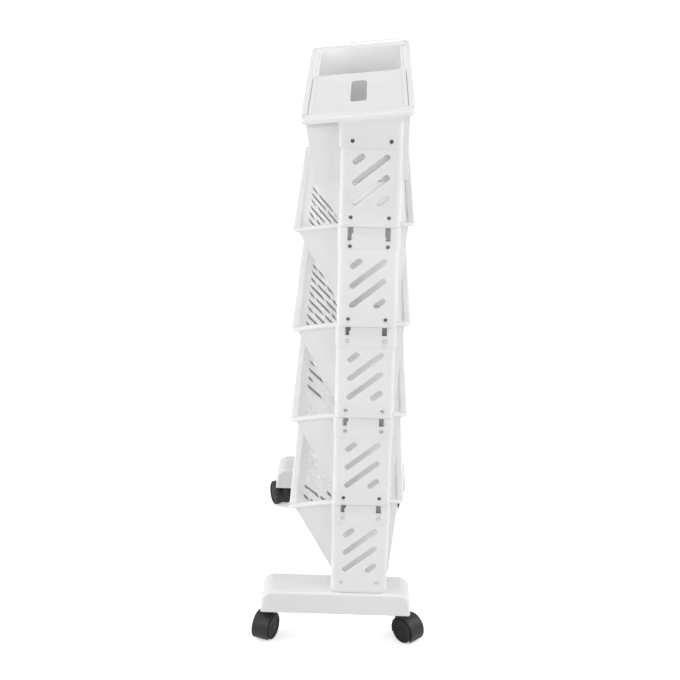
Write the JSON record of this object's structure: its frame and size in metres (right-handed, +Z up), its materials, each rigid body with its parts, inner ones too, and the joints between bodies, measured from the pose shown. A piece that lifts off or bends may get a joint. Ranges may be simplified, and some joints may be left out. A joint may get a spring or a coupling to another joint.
{
  "type": "rolling shelf unit",
  "caption": "Slim rolling shelf unit: slanted open bins with slotted fronts and a lidded top box between two slotted end columns on castor feet.",
  "frame": {"origin": "middle of the bounds of the whole unit, at floor level", "axes": "+X to the back wall of the bins, +Y to the end with the raised grip, +Z up"},
  "size_m": [0.2994, 0.5668, 0.947],
  "materials": {
    "white_plastic": "satin moulded white plastic",
    "black_plastic": "satin black nylon",
    "dark_tread": "dark hard wheel plastic",
    "plated_steel": "zinc plated steel"
  },
  "bodies": {
    "rack": {"back_panel_1": "white_plastic", "back_panel_2": "white_plastic", "back_panel_3": "white_plastic", "back_panel_4": "white_plastic", "bin_floor_1": "white_plastic", "bin_floor_2": "white_plastic", "bin_floor_3": "white_plastic", "bin_floor_4": "white_plastic", "castor_far_back_stem": "plated_steel", "castor_far_front_stem": "plated_steel", "castor_near_back_stem": "plated_steel", "castor_near_front_stem": "plated_steel", "far_bracket_1": "plated_steel", "far_bracket_2": "plated_steel", "far_bracket_3": "plated_steel", "far_bracket_4": "plated_steel", "far_end_frame_1": "white_plastic", "far_end_frame_2": "white_plastic", "far_end_frame_3": "white_plastic", "far_end_frame_4": "white_plastic", "far_foot": "white_plastic", "far_top_frame": "white_plastic", "front_grille_1": "white_plastic", "front_grille_2": "white_plastic", "front_grille_3": "white_plastic", "front_grille_4": "white_plastic", "near_bracket_1": "plated_steel", "near_bracket_2": "plated_steel", "near_bracket_3": "plated_steel", "near_bracket_4": "plated_steel", "near_end_frame_1": "white_plastic", "near_end_frame_2": "white_plastic", "near_end_frame_3": "white_plastic", "near_end_frame_4": "white_plastic", "near_foot": "white_plastic", "near_top_frame": "white_plastic", "top_back_panel": "white_plastic", "top_floor": "white_plastic", "top_front_panel": "white_plastic"},
    "lid": {"lid": "white_plastic"},
    "castor_near_front": {"castor_near_front_body": "black_plastic", "castor_near_front_axle": "plated_steel"},
    "castor_near_front_wheel_left": {"castor_near_front_wheel_left": "dark_tread"},
    "castor_near_front_wheel_right": {"castor_near_front_wheel_right": "dark_tread"},
    "castor_near_back": {"castor_near_back_body": "black_plastic", "castor_near_back_axle": "plated_steel"},
    "castor_near_back_wheel_left": {"castor_near_back_wheel_left": "dark_tread"},
    "castor_near_back_wheel_right": {"castor_near_back_wheel_right": "dark_tread"},
    "castor_far_front": {"castor_far_front_body": "black_plastic", "castor_far_front_axle": "plated_steel"},
    "castor_far_front_wheel_left": {"castor_far_front_wheel_left": "dark_tread"},
    "castor_far_front_wheel_right": {"castor_far_front_wheel_right": "dark_tread"},
    "castor_far_back": {"castor_far_back_body": "black_plastic", "castor_far_back_axle": "plated_steel"},
    "castor_far_back_wheel_left": {"castor_far_back_wheel_left": "dark_tread"},
    "castor_far_back_wheel_right": {"castor_far_back_wheel_right": "dark_tread"}
  },
  "joints": [
    {"name": "lid_slide", "type": "slide", "parent": "rack", "child": "lid", "axis": [0, 1, 0], "range_m": [0, 0.21]},
    {"name": "castor_near_front_swivel", "type": "hinge", "parent": "rack", "child": "castor_near_front", "pos_m": [-0.11845, -0.2365, 0.057], "axis": [0, 0, 1], "continuous": true},
    {"name": "castor_near_front_wheel_left_spin", "type": "hinge", "parent": "castor_near_front", "child": "castor_near_front_wheel_left", "pos_m": [-0.12587, -0.25399, 0.02173], "axis": [0.9205, -0.3907, 0], "continuous": true},
    {"name": "castor_near_front_wheel_right_spin", "type": "hinge", "parent": "castor_near_front", "child": "castor_near_front_wheel_right", "pos_m": [-0.12587, -0.25399, 0.02173], "axis": [0.9205, -0.3907, 0], "continuous": true},
    {"name": "castor_near_back_swivel", "type": "hinge", "parent": "rack", "child": "castor_near_back", "pos_m": [0.10755, -0.2365, 0.057], "axis": [0, 0, 1], "continuous": true},
    {"name": "castor_near_back_wheel_left_spin", "type": "hinge", "parent": "castor_near_back", "child": "castor_near_back_wheel_left", "pos_m": [0.12099, -0.24993, 0.02173], "axis": [0.7071, 0.7071, 0], "continuous": true},
    {"name": "castor_near_back_wheel_right_spin", "type": "hinge", "parent": "castor_near_back", "child": "castor_near_back_wheel_right", "pos_m": [0.12099, -0.24993, 0.02173], "axis": [0.7071, 0.7071, 0], "continuous": true},
    {"name": "castor_far_front_swivel", "type": "hinge", "parent": "rack", "child": "castor_far_front", "pos_m": [-0.11845, 0.2365, 0.057], "axis": [0, 0, 1], "continuous": true},
    {"name": "castor_far_front_wheel_left_spin", "type": "hinge", "parent": "castor_far_front", "child": "castor_far_front_wheel_left", "pos_m": [-0.12587, 0.25399, 0.02173], "axis": [-0.9205, -0.3907, 0], "continuous": true},
    {"name": "castor_far_front_wheel_right_spin", "type": "hinge", "parent": "castor_far_front", "child": "castor_far_front_wheel_right", "pos_m": [-0.12587, 0.25399, 0.02173], "axis": [-0.9205, -0.3907, 0], "continuous": true},
    {"name": "castor_far_back_swivel", "type": "hinge", "parent": "rack", "child": "castor_far_back", "pos_m": [0.10755, 0.2365, 0.057], "axis": [0, 0, 1], "continuous": true},
    {"name": "castor_far_back_wheel_left_spin", "type": "hinge", "parent": "castor_far_back", "child": "castor_far_back_wheel_left", "pos_m": [0.08856, 0.23716, 0.02173], "axis": [-0.0349, -0.9994, 0], "continuous": true},
    {"name": "castor_far_back_wheel_right_spin", "type": "hinge", "parent": "castor_far_back", "child": "castor_far_back_wheel_right", "pos_m": [0.08856, 0.23716, 0.02173], "axis": [-0.0349, -0.9994, 0], "continuous": true}
  ]
}
